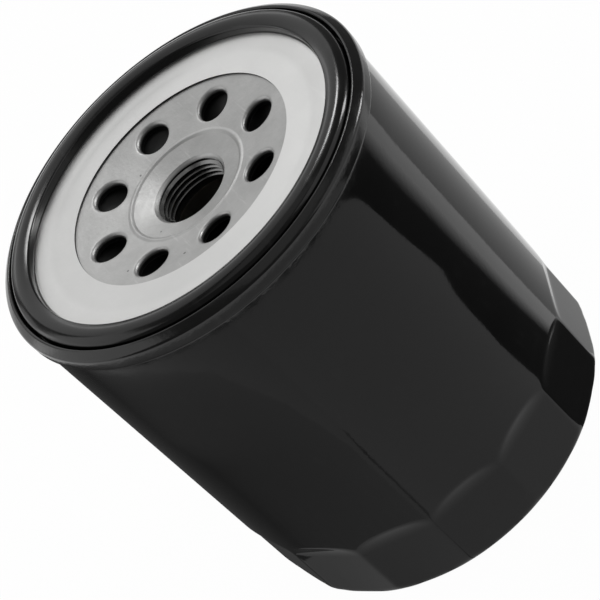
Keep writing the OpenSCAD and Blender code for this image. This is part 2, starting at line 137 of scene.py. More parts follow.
# %% [markdown]
# ## Shared effects
#
# Real sheet metal, paint and rubber are never one flat tone. Five effects come back in the finishes: a soft
# mottle, fine scratches, small pits, the uneven skin of sprayed paint, and painted shade below a dished
# face. A painted picture could show them, but it would have one fixed size and seams. Each is a node group
# here, built once, so a finish only chooses its own values. The mottle spreads the middle of a noise over
# the full range, because a noise seldom comes near 0 or 1. Scratches are a noise stretched into lines, in
# two directions and only in patches.

# %% Mottle and scratches
NOISE_LOW, NOISE_HIGH = 0.32, 0.68
LINE_LOW, LINE_HIGH = 0.66, 0.72
PATCH_LOW, PATCH_HIGH = 0.45, 0.62
PATCH_SCALE = 70.0
SCRATCH_TURNS = (0.1, 0.2, 0.6), (0.3, 0.1, -0.9)
SCRATCH_STRETCH = (1.0, 0.04, 0.5)


def make_mottle():
    tree, given, wanted = new_tree(
        "mottle", "ShaderNodeTree",
        [("Vector", VECTOR, None), ("Scale", FLOAT, 60.0), ("Low", FLOAT, 0.0), ("High", FLOAT, 1.0)],
        [("Value", FLOAT)])
    noise = put(tree, "ShaderNodeTexNoise", {"Vector": given["Vector"], "Scale": given["Scale"],
                                             "Detail": 5.0, "Roughness": 0.6})
    mapped = range_node(tree, noise.outputs["Fac"], NOISE_LOW, NOISE_HIGH, given["Low"], given["High"])
    tree.links.new(mapped, wanted["Value"])
    return tree


def make_scratches():
    tree, given, wanted = new_tree(
        "scratches", "ShaderNodeTree",
        [("Vector", VECTOR, None), ("Scale", FLOAT, 400.0), ("Amount", FLOAT, 0.5)], [("Mask", FLOAT)])
    streaks = []
    for turn in SCRATCH_TURNS:
        lines = put(tree, "ShaderNodeMapping", {"Vector": given["Vector"], "Rotation": turn,
                                                "Scale": SCRATCH_STRETCH})
        noise = put(tree, "ShaderNodeTexNoise", {"Vector": lines.outputs[0], "Scale": given["Scale"],
                                                 "Detail": 2.0})
        streaks.append(range_node(tree, noise.outputs["Fac"], LINE_LOW, LINE_HIGH))
    patches = put(tree, "ShaderNodeTexNoise", {"Vector": given["Vector"], "Scale": PATCH_SCALE,
                                               "Detail": 1.0})
    where = range_node(tree, patches.outputs["Fac"], PATCH_LOW, PATCH_HIGH)
    both = math_node(tree, "MAXIMUM", *streaks)
    mask = math_node(tree, "MULTIPLY", math_node(tree, "MULTIPLY", both, where), given["Amount"])
    tree.links.new(mask, wanted["Mask"])
    return tree


mottle, scratches = make_mottle(), make_scratches()
print("groups:", mottle.name, scratches.name)

# %% [markdown]
# ## Pits and the skin of the paint
#
# Pits are small dents left by dirt and knocks. A cell texture gives each cell a point and a tone, and only
# the cells with a high tone get a pit, so that pits lie far apart and differ in size. Sprayed paint dries
# with a fine grain on a slow wave, and these two noises are added into one height.

# %% Pits and skin
PICK_LOW, PICK_HIGH = 0.6, 1.0
PIT_EDGE = 0.02
GRAIN_SCALE, WAVE_SCALE = 900.0, 45.0


def make_pits():
    tree, given, wanted = new_tree(
        "pits", "ShaderNodeTree",
        [("Vector", VECTOR, None), ("Scale", FLOAT, 120.0), ("Size", FLOAT, 0.05)], [("Mask", FLOAT)])
    cells = put(tree, "ShaderNodeTexVoronoi", {"Vector": given["Vector"], "Scale": given["Scale"]})
    picked = range_node(tree, cells.outputs["Color"], PICK_LOW, PICK_HIGH, 0.0, given["Size"])
    inside = math_node(tree, "SUBTRACT", picked, cells.outputs["Distance"])
    tree.links.new(range_node(tree, inside, 0.0, PIT_EDGE), wanted["Mask"])
    return tree


def make_skin():
    tree, given, wanted = new_tree(
        "sprayed_skin", "ShaderNodeTree",
        [("Vector", VECTOR, None), ("Fine", FLOAT, 0.3), ("Wave", FLOAT, 1.0)], [("Height", FLOAT)])
    fine = put(tree, "ShaderNodeTexNoise", {"Vector": given["Vector"], "Scale": GRAIN_SCALE, "Detail": 2.0})
    wave = put(tree, "ShaderNodeTexNoise", {"Vector": given["Vector"], "Scale": WAVE_SCALE, "Detail": 1.0})
    height = math_node(tree, "ADD", math_node(tree, "MULTIPLY", fine.outputs["Fac"], given["Fine"]),
                       math_node(tree, "MULTIPLY", wave.outputs["Fac"], given["Wave"]))
    tree.links.new(height, wanted["Height"])
    return tree


pits, sprayed_skin = make_pits(), make_skin()
print("groups:", pits.name, sprayed_skin.name)

# %% [markdown]
# ## Painted shade below the face
#
# Painted shade darkens the walls of the plate's holes and its bore, where little light reaches. It starts a
# little below the dished face and grows with depth. On a narrow line near the lower lip it is lighter, which
# is a painted highlight on that edge. The face is a shallow cone, so depth is measured from a height that
# rises with the distance from the axis. No second material and no cut in the mesh is needed.

# %% Painted shade
LIP_SHADE_SHARE = 0.7


def axis_distance(tree, place):
    across = put(tree, "ShaderNodeCombineXYZ", {"X": place["X"], "Y": place["Y"]})
    return put(tree, "ShaderNodeVectorMath", {0: across.outputs[0]}, operation="LENGTH").outputs["Value"]


def make_painted_shade_depth():
    tree, given, wanted = new_tree(
        "painted_shade_depth", "ShaderNodeTree",
        [("Vector", VECTOR, None), ("Middle", FLOAT, 0.11), ("Slope", FLOAT, 0.16),
         ("Start", FLOAT, 0.9 * MM), ("End", FLOAT, 1.5 * MM), ("Lip", FLOAT, 2.4 * MM),
         ("Width", FLOAT, 0.2 * MM)], [("Mask", FLOAT)])
    place = put(tree, "ShaderNodeSeparateXYZ", {0: given["Vector"]}).outputs
    rise = math_node(tree, "MULTIPLY", axis_distance(tree, place), given["Slope"])
    depth = math_node(tree, "SUBTRACT", math_node(tree, "ADD", given["Middle"], rise), place["Z"])
    mask = range_node(tree, depth, given["Start"], given["End"])
    off_lip = math_node(tree, "ABSOLUTE", math_node(tree, "SUBTRACT", depth, given["Lip"]))
    # On a line near the lower lip less shade is painted: a painted highlight on the lip.
    lit_lip = range_node(tree, off_lip, 0.0, given["Width"], LIP_SHADE_SHARE, 1.0)
    tree.links.new(math_node(tree, "MULTIPLY", mask, lit_lip), wanted["Mask"])
    return tree


painted_shade_depth = make_painted_shade_depth()
print("group:", painted_shade_depth.name)

# %% [markdown]
# ## Finishes
#
# Every finish is a Principled shader with the same wiring: two tones mixed by a mottle, scratches and pits
# on top, roughness that wanders between two values, and a bump. What differs is written as values: paint is
# nearly black and smooth, plated steel is a pale metal with a satin surface, rubber is dark and softer.
# Tones are linear.

# %% The finish helper
MIX_FACTOR, MIX_UNDER, MIX_OVER, MIX_RESULT = 0, 6, 7, 2
WARMTH = 0.99
GRAIN_RATIO = 2.6
SCRATCH_ROUGHNESS = 0.15
PIT_DEPTH = 0.5
METAL = 1.0


def grey(value):
    return (value, value, value * WARMTH, 1.0)


def layer(tree, under, mask, over):
    sockets = {MIX_FACTOR: mask, MIX_UNDER: under, MIX_OVER: over}
    return put(tree, "ShaderNodeMix", sockets, data_type="RGBA").outputs[MIX_RESULT]


def finish(name, tones, rough, metallic=0.0, scale=60.0, scratch=(400.0, 0.3, 0.5), pit=(120.0, 0.05, 0.3),
           skin=(0.3, 1.0, 0.05), painted_shade=None, **sockets):
    """Scratch is (scale, amount, tone), pit (scale, size, tone), skin (grain, wave, strength of the bump)."""
    material = bpy.data.materials.new(name)
    material.use_nodes = True
    tree = material.node_tree
    shader = tree.nodes["Principled BSDF"]
    place = put(tree, "ShaderNodeTexCoord").outputs["Object"]

    def effect(group, **values):
        return put(tree, "ShaderNodeGroup", {"Vector": place, **values}, node_tree=group).outputs[0]

    scratch_mask = effect(scratches, Scale=scratch[0], Amount=scratch[1])
    pit_mask = effect(pits, Scale=pit[0], Size=pit[1])
    low, high = (tone if isinstance(tone, tuple) else grey(tone) for tone in tones)
    colour = layer(tree, low, effect(mottle, Scale=scale), high)
    colour = layer(tree, colour, scratch_mask, grey(scratch[2]))
    colour = layer(tree, colour, pit_mask, grey(pit[2]))
    # Painted shade: darker below the plate's face, with a lighter line near the holes' lower lip as a painted
    # highlight.
    if painted_shade:
        colour = layer(tree, colour, effect(painted_shade_depth, Middle=painted_shade[0], Slope=painted_shade[1]), grey(painted_shade[2]))
    tree.links.new(colour, shader.inputs["Base Color"])
    wander = effect(mottle, Scale=GRAIN_RATIO * scale, Low=rough[0], High=rough[1])
    roughness = math_node(tree, "ADD", wander, math_node(tree, "MULTIPLY", scratch_mask, SCRATCH_ROUGHNESS))
    tree.links.new(roughness, shader.inputs["Roughness"])
    height = math_node(tree, "SUBTRACT", effect(sprayed_skin, Fine=skin[0], Wave=skin[1]),
                       math_node(tree, "MULTIPLY", pit_mask, PIT_DEPTH))
    bump = put(tree, "ShaderNodeBump", {"Strength": skin[2], "Distance": MM, "Height": height})
    tree.links.new(bump.outputs[0], shader.inputs["Normal"])
    shader.inputs["Metallic"].default_value = metallic
    for label, value in sockets.items():
        shader.inputs[label.replace("_", " ")].default_value = value
    return material


print("finish helper ready")

# %% [markdown]
# ## What each part is finished in
#
# The canister is sprayed in black gloss, and the rolled seam carries the same paint, dulled by the rolls.
# The lid is smooth plated sheet, with its sheared bore painted dark as shade, and the plate a plated pressing
# with a coarser grain and painted shade in its holes and bore. The thread is bare cut steel, and the gasket
# black rubber, shiny from its mould. Inside there is rubber, tinned and plain steel, amber adhesive and tan
# paper. Only the plate's painted shade needs to know a shape: the height of its face and the face's slope.

# %% The finishes
black_paint = finish("black_paint", (0.0015, 0.003), (0.04, 0.09), scale=35, scratch=(300, 0.15, 0.02),
                     pit=(90, 0.06, 0.001), skin=(0.12, 1.0, 0.06))
seam_paint = finish("seam_paint", (0.002, 0.004), (0.10, 0.20), scale=70, scratch=(260, 0.3, 0.03),
                    pit=(110, 0.08, 0.001), skin=(0.25, 1.0, 0.10))
plated_lid = finish("plated_lid", (0.63, 0.70), (0.34, 0.40), METAL, scale=28, scratch=(500, 0.15, 0.8),
                    pit=(160, 0.05, 0.45), skin=(0.3, 0.3, 0.05))
# The plate's finish paints shade into its holes and bore below the face, lighter on a line near the lower
# lip.
FACE_MIDDLE, FACE_SLOPE = 110.44 * MM, 0.162
plated_plate = finish("plated_plate", (0.41, 0.47), (0.42, 0.52), METAL, scale=120, scratch=(900, 0.3, 0.7),
                      pit=(170, 0.09, 0.2), skin=(0.6, 0.3, 0.10), painted_shade=(FACE_MIDDLE, FACE_SLOPE, 0.03))
tapped_steel = finish("tapped_steel", (0.17, 0.26), (0.20, 0.28), METAL, scale=200, scratch=(700, 0.4, 0.4))
# The lid's sheared bore edge is painted dark: a cut edge, but its darkness is painted shade.
cut_edge_painted_shade = finish("cut_edge_painted_shade", (0.05, 0.10), (0.4, 0.55), METAL, scale=300, scratch=(600, 0.5, 0.2))
gasket_rubber = finish("gasket_rubber", (0.002, 0.005), (0.12, 0.20), scale=45, scratch=(250, 0.2, 0.03),
                       pit=(140, 0.07, 0.03), skin=(0.2, 0.5, 0.02), Specular_IOR_Level=0.42)
valve_rubber = finish("valve_rubber", (0.010, 0.020), (0.45, 0.6), scale=80, scratch=(250, 0.2, 0.04))
sealant = finish("sealant", (0.08, 0.14), (0.5, 0.65), scale=200)
tinned_cap = finish("tinned_cap", (0.48, 0.66), (0.28, 0.4), METAL, scale=70, scratch=(350, 0.5, 0.8))
potting = finish("potting", ((0.30, 0.11, 0.03, 1.0), (0.42, 0.17, 0.05, 1.0)), (0.35, 0.5), scale=120)
filter_paper = finish("filter_paper", ((0.50, 0.34, 0.13, 1.0), (0.66, 0.47, 0.21, 1.0)), (0.8, 0.92),
                      scale=260, scratch=(1500, 0.5, 0.6), pit=(900, 0.2, 0.4), skin=(1.0, 0.3, 0.4))
tube_steel = finish("tube_steel", (0.42, 0.58), (0.3, 0.42), METAL, scale=90, scratch=(380, 0.5, 0.7))
valve_steel = finish("valve_steel", (0.45, 0.60), (0.25, 0.36), METAL, scale=110, scratch=(450, 0.4, 0.75))
spring_steel = finish("spring_steel", (0.26, 0.38), (0.22, 0.34), METAL, scale=150, scratch=(500, 0.4, 0.6))
print("finishes:", len(bpy.data.materials))

# %% [markdown]
# ## Bent lines
#
# Nearly every piece is turned or pressed from sheet, so it starts as a line in the (radius, height) plane
# whose corners are bent to a radius. `bent` rounds the corners, and `sheet` gives such a line the thickness
# of the metal on its right-hand side. A corner is (radius, height), with the radius of its bend as a third
# number. A Bevel modifier could round a finished mesh, but a drawn section shows each bend where it is
# made.

# %% Section lines
def bend(a, b, c, radius, steps):
    a, b, c = (Vector(p[:2]) for p in (a, b, c))
    u, w = (a - b).normalized(), (c - b).normalized()
    half = u.angle(w) / 2
    centre = b + (u + w).normalized() * (radius / math.sin(half))
    start = b + u * (radius / math.tan(half)) - centre
    sweep = math.copysign(math.pi - 2 * half, (b - a).cross(c - b))
    return [centre + Matrix.Rotation(sweep * i / steps, 2) @ start for i in range(steps + 1)]


def bent(corners, closed=False, steps=7):
    points = []
    last = len(corners) - 1
    for i, corner in enumerate(corners):
        inner = closed or 0 < i < last
        if len(corner) > 2 and inner:
            points += bend(corners[i - 1], corner, corners[(i + 1) % (last + 1)], corner[2], steps)
        else:
            points.append(Vector(corner[:2]))
    return points


def sheet(corners, thickness):
    line = bent(corners)
    along = [(b - a).normalized() for a, b in zip(line, line[1:])]
    back = []
    for i, point in enumerate(line):
        before, after = along[max(i - 1, 0)], along[min(i, len(along) - 1)]
        right = Vector((before.y + after.y, -before.x - after.x)).normalized()
        back.append(point + right * (thickness / right.dot(Vector((before.y, -before.x)))))
    return line + back[::-1]


print("a bent corner:", [tuple(round(x, 2) for x in p) for p in bent([(0, 0), (2, 0, 1), (2, 2)], steps=2)])

# %% [markdown]
# ## From a mesh to a piece
#
# A bmesh becomes an object at the origin, with its place in its mesh. Doubles are merged first, then the
# faces are turned outwards. Shading is smooth, and edges sharper than 35 degrees stay crisp. A piece then
# rides on its CAD body, and the CAD node that it stands for is hidden.

# %% Piece helpers
DOUBLES = 0.0005
SHARP_ANGLE = math.radians(35)


def to_object(name, shape, *materials):
    bmesh.ops.remove_doubles(shape, verts=shape.verts, dist=DOUBLES)
    bmesh.ops.recalc_face_normals(shape, faces=shape.faces)
    bmesh.ops.scale(shape, vec=(MM, MM, MM), verts=shape.verts)
    mesh = bpy.data.meshes.new(name)
    shape.to_mesh(mesh)
    shape.free()
    made = bpy.data.objects.new(name, mesh)
    for material in materials:
        mesh.materials.append(material)
    bpy.context.scene.collection.objects.link(made)
    return made


def settle(piece, body, node):
    piece.data.shade_smooth()
    piece.data.set_sharp_from_angle(angle=SHARP_ANGLE)
    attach(piece, body)
    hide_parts(node)
    mesh = piece.data
    print(f"{piece.name}: {len(mesh.vertices)} points, {len(mesh.polygons)} faces, rides on {body}")


print("piece helpers ready")

# %% Turned shapes
ON_AXIS = 1e-6


def columns_to_faces(shape, columns, closed, tone=None):
    for left, right in zip(columns, columns[1:]):
        count = len(left)
        for i in range(count if closed else count - 1):
            corners = left[i], right[i], right[(i + 1) % count], left[(i + 1) % count]
            if all(abs(v.co.x) + abs(v.co.y) < ON_AXIS for v in corners):
                continue
            face = shape.faces.new(corners)
            if tone:
                middle = face.calc_center_median()
                face.material_index = tone(math.hypot(middle.x, middle.y), middle.z)


def turned(r, angle, z):
    return r * math.cos(angle), r * math.sin(angle), z


def lathe(outline, segments=240, tone=None):
    shape = bmesh.new()
    columns = []
    for j in range(segments + 1):
        angle = math.tau * j / segments
        columns.append([shape.verts.new(turned(p[0], angle, p[1])) for p in outline])
    columns_to_faces(shape, columns, True, tone)
    return shape


print("a point turned by 90 degrees:", [round(x, 3) for x in turned(1, math.pi / 2, 0)])

# %% [markdown]
# ## Repeating round the axis
#
# The canister has fifteen equal wrench flats and the plate eight equal holes, so one sector of each is
# modelled and a geometry tree repeats it round the axis. It instances the sector on points that all lie on
# the axis, turns each by its index, realizes them, and merges the edges where neighbours meet, which closes
# the surface. An Array modifier round an empty could do this too, but a tree keeps the count and the phase
# as inputs by name.

# %% The repeating tree
def hand_out(tree, geometry, given, wanted, merge=None):
    """Ends a geometry tree: real mesh, merged if asked, in the material that the tree was given."""
    solid = put(tree, "GeometryNodeRealizeInstances", {"Geometry": geometry}).outputs[0]
    if merge is not None:
        solid = put(tree, "GeometryNodeMergeByDistance", {"Geometry": solid, "Distance": merge}).outputs[0]
    painted = put(tree, "GeometryNodeSetMaterial", {"Geometry": solid, "Material": given["Material"]})
    tree.links.new(painted.outputs[0], wanted["Geometry"])
    return tree


def make_repeat_round():
    tree, given, wanted = new_tree(
        "repeat_round", "GeometryNodeTree",
        [("Geometry", GEOMETRY, None), ("Count", INT, 8), ("Phase", FLOAT, 0.0), ("Merge", FLOAT, 0.002 * MM),
         ("Material", MATERIAL, None)], [("Geometry", GEOMETRY)])
    points = put(tree, "GeometryNodePoints", {"Count": given["Count"]})
    step = math_node(tree, "DIVIDE", math.tau, given["Count"])
    steps = math_node(tree, "MULTIPLY", put(tree, "GeometryNodeInputIndex").outputs[0], step)
    angles = put(tree, "ShaderNodeCombineXYZ", {"Z": math_node(tree, "ADD", steps, given["Phase"])})
    rotation = put(tree, "FunctionNodeEulerToRotation", {0: angles.outputs[0]})
    copies = put(tree, "GeometryNodeInstanceOnPoints", {
        "Points": points.outputs[0], "Instance": given["Geometry"], "Rotation": rotation.outputs[0]})
    return hand_out(tree, copies.outputs[0], given, wanted, given["Merge"])


def grow(piece, tree, **values):
    """Runs a geometry tree on a piece, with its inputs set by their identifiers, and keeps the plain mesh."""
    modifier = piece.modifiers.new(tree.name, "NODES")
    modifier.node_group = tree
    for item in tree.interface.items_tree:
        if item.in_out == "INPUT" and item.name in values:
            modifier[item.identifier] = values[item.name]
    graph = bpy.context.evaluated_depsgraph_get()
    mesh = bpy.data.meshes.new_from_object(piece.evaluated_get(graph))
    piece.modifiers.clear()
    old, piece.data = piece.data, mesh
    bpy.data.meshes.remove(old)
    mesh.name = piece.name
    return piece


repeat_round = make_repeat_round()
print("tree:", repeat_round.name)

# %% [markdown]
# ## The canister
#
# The canister is drawn from 0.5 mm sheet. Near the closed end fifteen flats are pressed into it for a cap
# wrench, and each ends in a sloped shoulder. Cutting flats with booleans would leave knife edges that no
# drawn sheet has. Here each point of the wall takes the lowest of the round wall, its own flat and the next
# flat, blended softly, so the corners and shoulders come out rounded as on pressed metal.

# %% Wrench flats
CAN_R = 54.0
CAN_WALL = 0.5
FLAT_COUNT = 15
FLAT_ANGLE = math.tau / FLAT_COUNT
CORNER_INSET = 0.07
FLAT_R = (CAN_R - CORNER_INSET) * math.cos(FLAT_ANGLE / 2)
FLAT_TOP = 23.3
SHOULDER = 3.2
SHOULDER_BLEND, CORNER_BLEND, WALL_BLEND = 3.0, 0.25, 0.3


def soft_min(a, b, blend):
    share = max(blend - abs(a - b), 0.0) / blend
    return min(a, b) - share * share * blend / 4


def pressed(r, z, angle, inset):
    """The radius of a point of the wall after pressing; inset is its depth in the sheet."""
    rise = -soft_min(FLAT_TOP - z, 0.0, SHOULDER_BLEND)
    face = FLAT_R - inset + rise * (CAN_R - FLAT_R) / SHOULDER
    own, other = face / math.cos(angle), face / math.cos(FLAT_ANGLE - abs(angle))
    return soft_min(r, soft_min(own, other, CORNER_BLEND), WALL_BLEND)


print("depth of a flat at its middle:", round(CAN_R - pressed(CAN_R, 10, 0, 0), 3), "mm")

# %% [markdown]
# ## One sector of the canister
#
# The section runs along the inside of the sheet: from the middle of the foot's round recess, round the
# foot, up the wall, in at the neck, and out into the flange that hooks into the seam. Rows of points are
# set close only where the shoulders bend, and columns close only at the corners between flats, which keeps
# the mesh light.

# %% Canister
SEAM_TOP = 118.75
SEAM_FALL = 2.25
SEAM_BOTTOM = 112.6
RECESS_R, RECESS_FOOT_R, RECESS_Z = 36.2, 38.2, 2.5
FOOT_ROUND = 4.5
NECK_DROP = 0.6
THROAT_R = 52.9
FLANGE_TOP, FLANGE_EDGE = 117.4, 116.205
HOOK_R, HOOK_RISE = 54.59, 1.25
INSIDE_R = CAN_R - CAN_WALL
can_line = [(0, RECESS_Z), (RECESS_R, RECESS_Z, 1.5), (RECESS_FOOT_R, CAN_WALL, 1.5),
            (INSIDE_R, CAN_WALL, FOOT_ROUND - CAN_WALL), (INSIDE_R, SEAM_BOTTOM - NECK_DROP, 0.3),
            (THROAT_R, SEAM_BOTTOM, 0.3), (THROAT_R, FLANGE_TOP, 0.55), (HOOK_R, FLANGE_EDGE, 0.65),
            (HOOK_R, SEAM_BOTTOM + HOOK_RISE)]
WALL_TOP = 112
UPRIGHT = 0.01
FOOT_STEP = 4
SHOULDER_ROWS = [20.5 + 0.5 * i for i in range(18)]
WALL_ROWS = [32 + 10 * i for i in range(8)]


def divided(outline):
    points = []
    for a, b in zip(outline, outline[1:]):
        is_wall = abs(a.x - b.x) < UPRIGHT and b.y != a.y and (a.y + b.y) / 2 < WALL_TOP
        stops = [0.0]
        if is_wall:
            low, high = sorted((a.y, b.y))
            heights = [low + FOOT_STEP * i for i in range(1, 5)] + SHOULDER_ROWS + WALL_ROWS
            stops += sorted((z - a.y) / (b.y - a.y) for z in heights if low < z < high)
        points += [a.lerp(b, t) for t in stops]
    return points + [outline[-1]]


can_sheet = sheet(can_line, CAN_WALL)
half = len(can_sheet) // 2
can_inside, can_outside = divided(can_sheet[:half]), divided(can_sheet[half:])
can_outline = [(p, CAN_WALL) for p in can_inside] + [(p, 0.0) for p in can_outside]
sector = bmesh.new()
can_columns = []
HALF_COLUMNS = 13
CROWDING = 0.3
for j in range(2 * HALF_COLUMNS + 1):
    t = j / HALF_COLUMNS - 1
    angle = FLAT_ANGLE / 2 * ((1 + CROWDING) * t - CROWDING * t ** 3)
    can_columns.append([sector.verts.new(turned(pressed(p.x, p.y, angle, inset), angle, p.y))
                        for p, inset in can_outline])
columns_to_faces(sector, can_columns, True)
canister = to_object("canister_shell", sector, black_paint)
grow(canister, repeat_round, Count=FLAT_COUNT, Material=black_paint)
settle(canister, "filter", "canister")

# %% [markdown]
# ## The seaming lid
#
# The lid is one pressed ring: a plain land round the plate, a ridge, the groove that holds the gasket, and
# the hook that is rolled with the canister's rim into the double seam. It could be a Screw modifier on a
# curve. A lathe written out gives each face its material as it is made: the land is plated, the sheared
# bore is painted dark as shade, and the seam is painted black.

# %% Lid
LID_SHEET = 0.45
LID_BORE_R = 32.7
LAND_Z = 116.27
CREASE_R = 40.03
GROOVE_R = 45.83
GROOVE_Z = 113.6
CHUCK_R = 52.33
SEAM_R = 55.16
RIDGE_RISE = 0.55
COVER_HOOK_R, COVER_HOOK_TOP = 53.52, 115.61
lid_line = [(LID_BORE_R, LAND_Z), (CREASE_R, LAND_Z, 20), (GROOVE_R, LAND_Z + RIDGE_RISE, 0.7),
            (GROOVE_R, GROOVE_Z, 0.3), (CHUCK_R, GROOVE_Z, 0.4), (CHUCK_R, SEAM_TOP, 0.6),
            (SEAM_R, SEAM_TOP - SEAM_FALL, 1.2), (SEAM_R, SEAM_BOTTOM, 0.95),
            (COVER_HOOK_R, SEAM_BOTTOM, 0.57), (COVER_HOOK_R, COVER_HOOK_TOP)]
ON_LAND, ON_BORE, ON_SEAM = range(3)
BORE_BAND, GROOVE_BAND = 0.01, 0.02


def lid_tone(r, z):
    if r < LID_BORE_R + BORE_BAND:
        return ON_BORE
    return ON_LAND if r < GROOVE_R + GROOVE_BAND else ON_SEAM


# The bore's faces take the painted shade of the cut edge.
lid = to_object("seaming_lid_ring", lathe(sheet(lid_line, LID_SHEET), tone=lid_tone),
                plated_lid, cut_edge_painted_shade, seam_paint)
settle(lid, "filter", "seaming_lid")

# %% [markdown]
# ## The gasket
#
# The gasket is a moulded rubber ring that seals on the engine. Its crown climbs from both sides to a softly
# rounded ridge, which is pressed flat when the filter is screwed on. A torus would be too round. With a
# drawn section the ridge's bend can be set alone, and that bend decides how wide the streaks of light along
# it are.

# %% Gasket
GASKET_IN_R = 45.5
GASKET_OUT_R = 51.85
GASKET_TOP = 119.6
GASKET_FOOT = 113.65
GASKET_RIDGE_R = 48.5
RIDGE_POINT, INNER_DROP, OUTER_DROP = 0.4, 0.8, 1.05
gasket_line = [(GASKET_IN_R, GASKET_FOOT, 0.4), (GASKET_IN_R, GASKET_TOP - INNER_DROP, 0.8),
               (GASKET_RIDGE_R, GASKET_TOP + RIDGE_POINT, 5), (GASKET_OUT_R, GASKET_TOP - OUTER_DROP, 1.8),
               (GASKET_OUT_R, GASKET_FOOT, 0.4)]
gasket = to_object("gasket_ring", lathe(bent(gasket_line, closed=True, steps=12)), gasket_rubber)
settle(gasket, "filter", "gasket")

# %% [markdown]
# ## The threaded plate
#
# The plate is a thick dished pressing with eight inlet holes and a neck drawn down for the thread. Its
# sizes come first. The face falls towards the middle as a shallow cone up to a fold, where a small bead
# stands, and from there a funnel leads to the thread's mouth.

# %% Plate section
THREAD_MINOR_R = 9.188
THREAD_MAJOR_R = 10.0
PLATE_T = 2.5
PLATE_Z = 115.8
FOLD_R = 17.0
FOLD_Z = 113.2
DISH_R = 33.03
MOUTH_R = 10.838
MOUTH_Z = 111.65
MOUTH_CHAMFER = 1.65
NECK_R = 12.488
NECK_Z = 104.0
UNDER_FOLD_R, UNDER_FOLD_Z = 18.2, FOLD_Z - PLATE_T
dish_slope = (PLATE_Z - FOLD_Z) / (DISH_R - FOLD_R)
funnel_slope = (FOLD_Z - MOUTH_Z) / (FOLD_R - MOUTH_R)
UNDER_DISH_R = DISH_R - PLATE_T * math.tan(math.atan(dish_slope) / 2)
HOLE_COUNT = 8
HOLE_R = 4.55
HOLE_CIRCLE_R = 24.75
HOLE_RIM = 0.9
HOLE_PHASE = math.radians(-5.7)
TILE_IN_R = 18.9
TILE_OUT_R = 31.5


def face_z(r):
    return FOLD_Z + (r - FOLD_R) * dish_slope


def under_z(r):
    climb = PLATE_Z - PLATE_T - UNDER_FOLD_Z
    return UNDER_FOLD_Z + (r - UNDER_FOLD_R) * climb / (UNDER_DISH_R - UNDER_FOLD_R)


print("the dish falls by", round(math.degrees(math.atan(dish_slope)), 2), "degrees")

# %% [markdown]
# ## One sector of the plate
#
# A boolean would cut the holes, but leave long thin faces and a sharp rim. Instead one sector of 45 degrees
# is meshed as loops that run from the underside, through the hole and over its rolled rim, out to the
# sector's edge, so the rim's rounding is real geometry and the faces round it stay even. A loop's reach is
# 0 at the hole and 1 at the edge.

# %% The hole
HALF_SECTOR = math.pi / HOLE_COUNT
ARC_STEPS = 26
SIDE_STEPS = 12
arc = [HALF_SECTOR * (2 * i / ARC_STEPS - 1) for i in range(ARC_STEPS + 1)]
side = [TILE_OUT_R + (TILE_IN_R - TILE_OUT_R) * i / SIDE_STEPS for i in range(SIDE_STEPS + 1)]
edge = [(TILE_OUT_R, a) for a in arc[:-1]] + [(r, HALF_SECTOR) for r in side[:-1]] + \
       [(TILE_IN_R, a) for a in arc[:0:-1]] + [(r, -HALF_SECTOR) for r in side[:0:-1]]
hole_centre = Vector((HOLE_CIRCLE_R, 0))
edge = [Vector((r * math.cos(a), r * math.sin(a))) for r, a in edge]
spokes = [(p - hole_centre).normalized() for p in edge]

plate_sector = bmesh.new()


def loop(hole_radius, reach, height):
    made = []
    for p, spoke in zip(edge, spokes):
        q = (hole_centre + spoke * hole_radius).lerp(p, reach)
        made.append(plate_sector.verts.new((q.x, q.y, height(q.length))))
    return made


UNDER_RIM = 0.2
RIM_STEPS = 7
loops = [loop(HOLE_R + UNDER_RIM, reach, under_z) for reach in (1.0, 0.6, 0.25, 0.0)]
loops.append(loop(HOLE_R, 0.0, lambda r: under_z(r) + UNDER_RIM))
for i in range(RIM_STEPS + 1):
    turn = math.pi / 2 * i / RIM_STEPS
    drop = HOLE_RIM * (1 - math.sin(turn))
    loops.append(loop(HOLE_R + HOLE_RIM * (1 - math.cos(turn)), 0.0, lambda r, d=drop: face_z(r) - d))
loops += [loop(HOLE_R + HOLE_RIM, reach, face_z) for reach in (0.2, 0.45, 0.7, 1.0)]
for lower, upper in zip(loops, loops[1:]):
    for i in range(len(lower)):
        k = (i + 1) % len(lower)
        plate_sector.faces.new((lower[i], lower[k], upper[k], upper[i]))
print("loops through the hole:", len(loops))

# %% [markdown]
# ## Neck and outer edge
#
# Inside and outside the ring of holes the plate is plainly turned, so two section lines complete the
# sector: one from the holes over the bead, down the funnel and round the neck, and one round the outer
# edge, which climbs under the lid's ridge. The finished sector is then repeated eight times.

# %% The plate
BEAD_HALF = 0.8
BEAD_RISE = 0.3
NECK_CHAMFER = 0.1
NECK_ROOT_DROP = 2.6
inner_line = bent([
    (TILE_IN_R, face_z(TILE_IN_R)), (FOLD_R + BEAD_HALF, face_z(FOLD_R + BEAD_HALF), 1.0),
    (FOLD_R, FOLD_Z + BEAD_RISE, 0.8), (FOLD_R - BEAD_HALF, FOLD_Z - BEAD_HALF * funnel_slope, 0.6),
    (MOUTH_R, MOUTH_Z, 0.3), (THREAD_MAJOR_R, MOUTH_Z - MOUTH_R + THREAD_MAJOR_R),
    (THREAD_MAJOR_R, NECK_Z + NECK_CHAMFER), (THREAD_MAJOR_R + NECK_CHAMFER, NECK_Z), (NECK_R, NECK_Z, 0.5),
    (NECK_R, UNDER_FOLD_Z - NECK_ROOT_DROP, 2), (UNDER_FOLD_R, UNDER_FOLD_Z, 3),
    (TILE_IN_R, under_z(TILE_IN_R))])
PLATE_CREASE_R, PLATE_R = 40.05, 44.98
edge_z = PLATE_Z + (PLATE_R - PLATE_CREASE_R) * RIDGE_RISE / (GROOVE_R - CREASE_R)
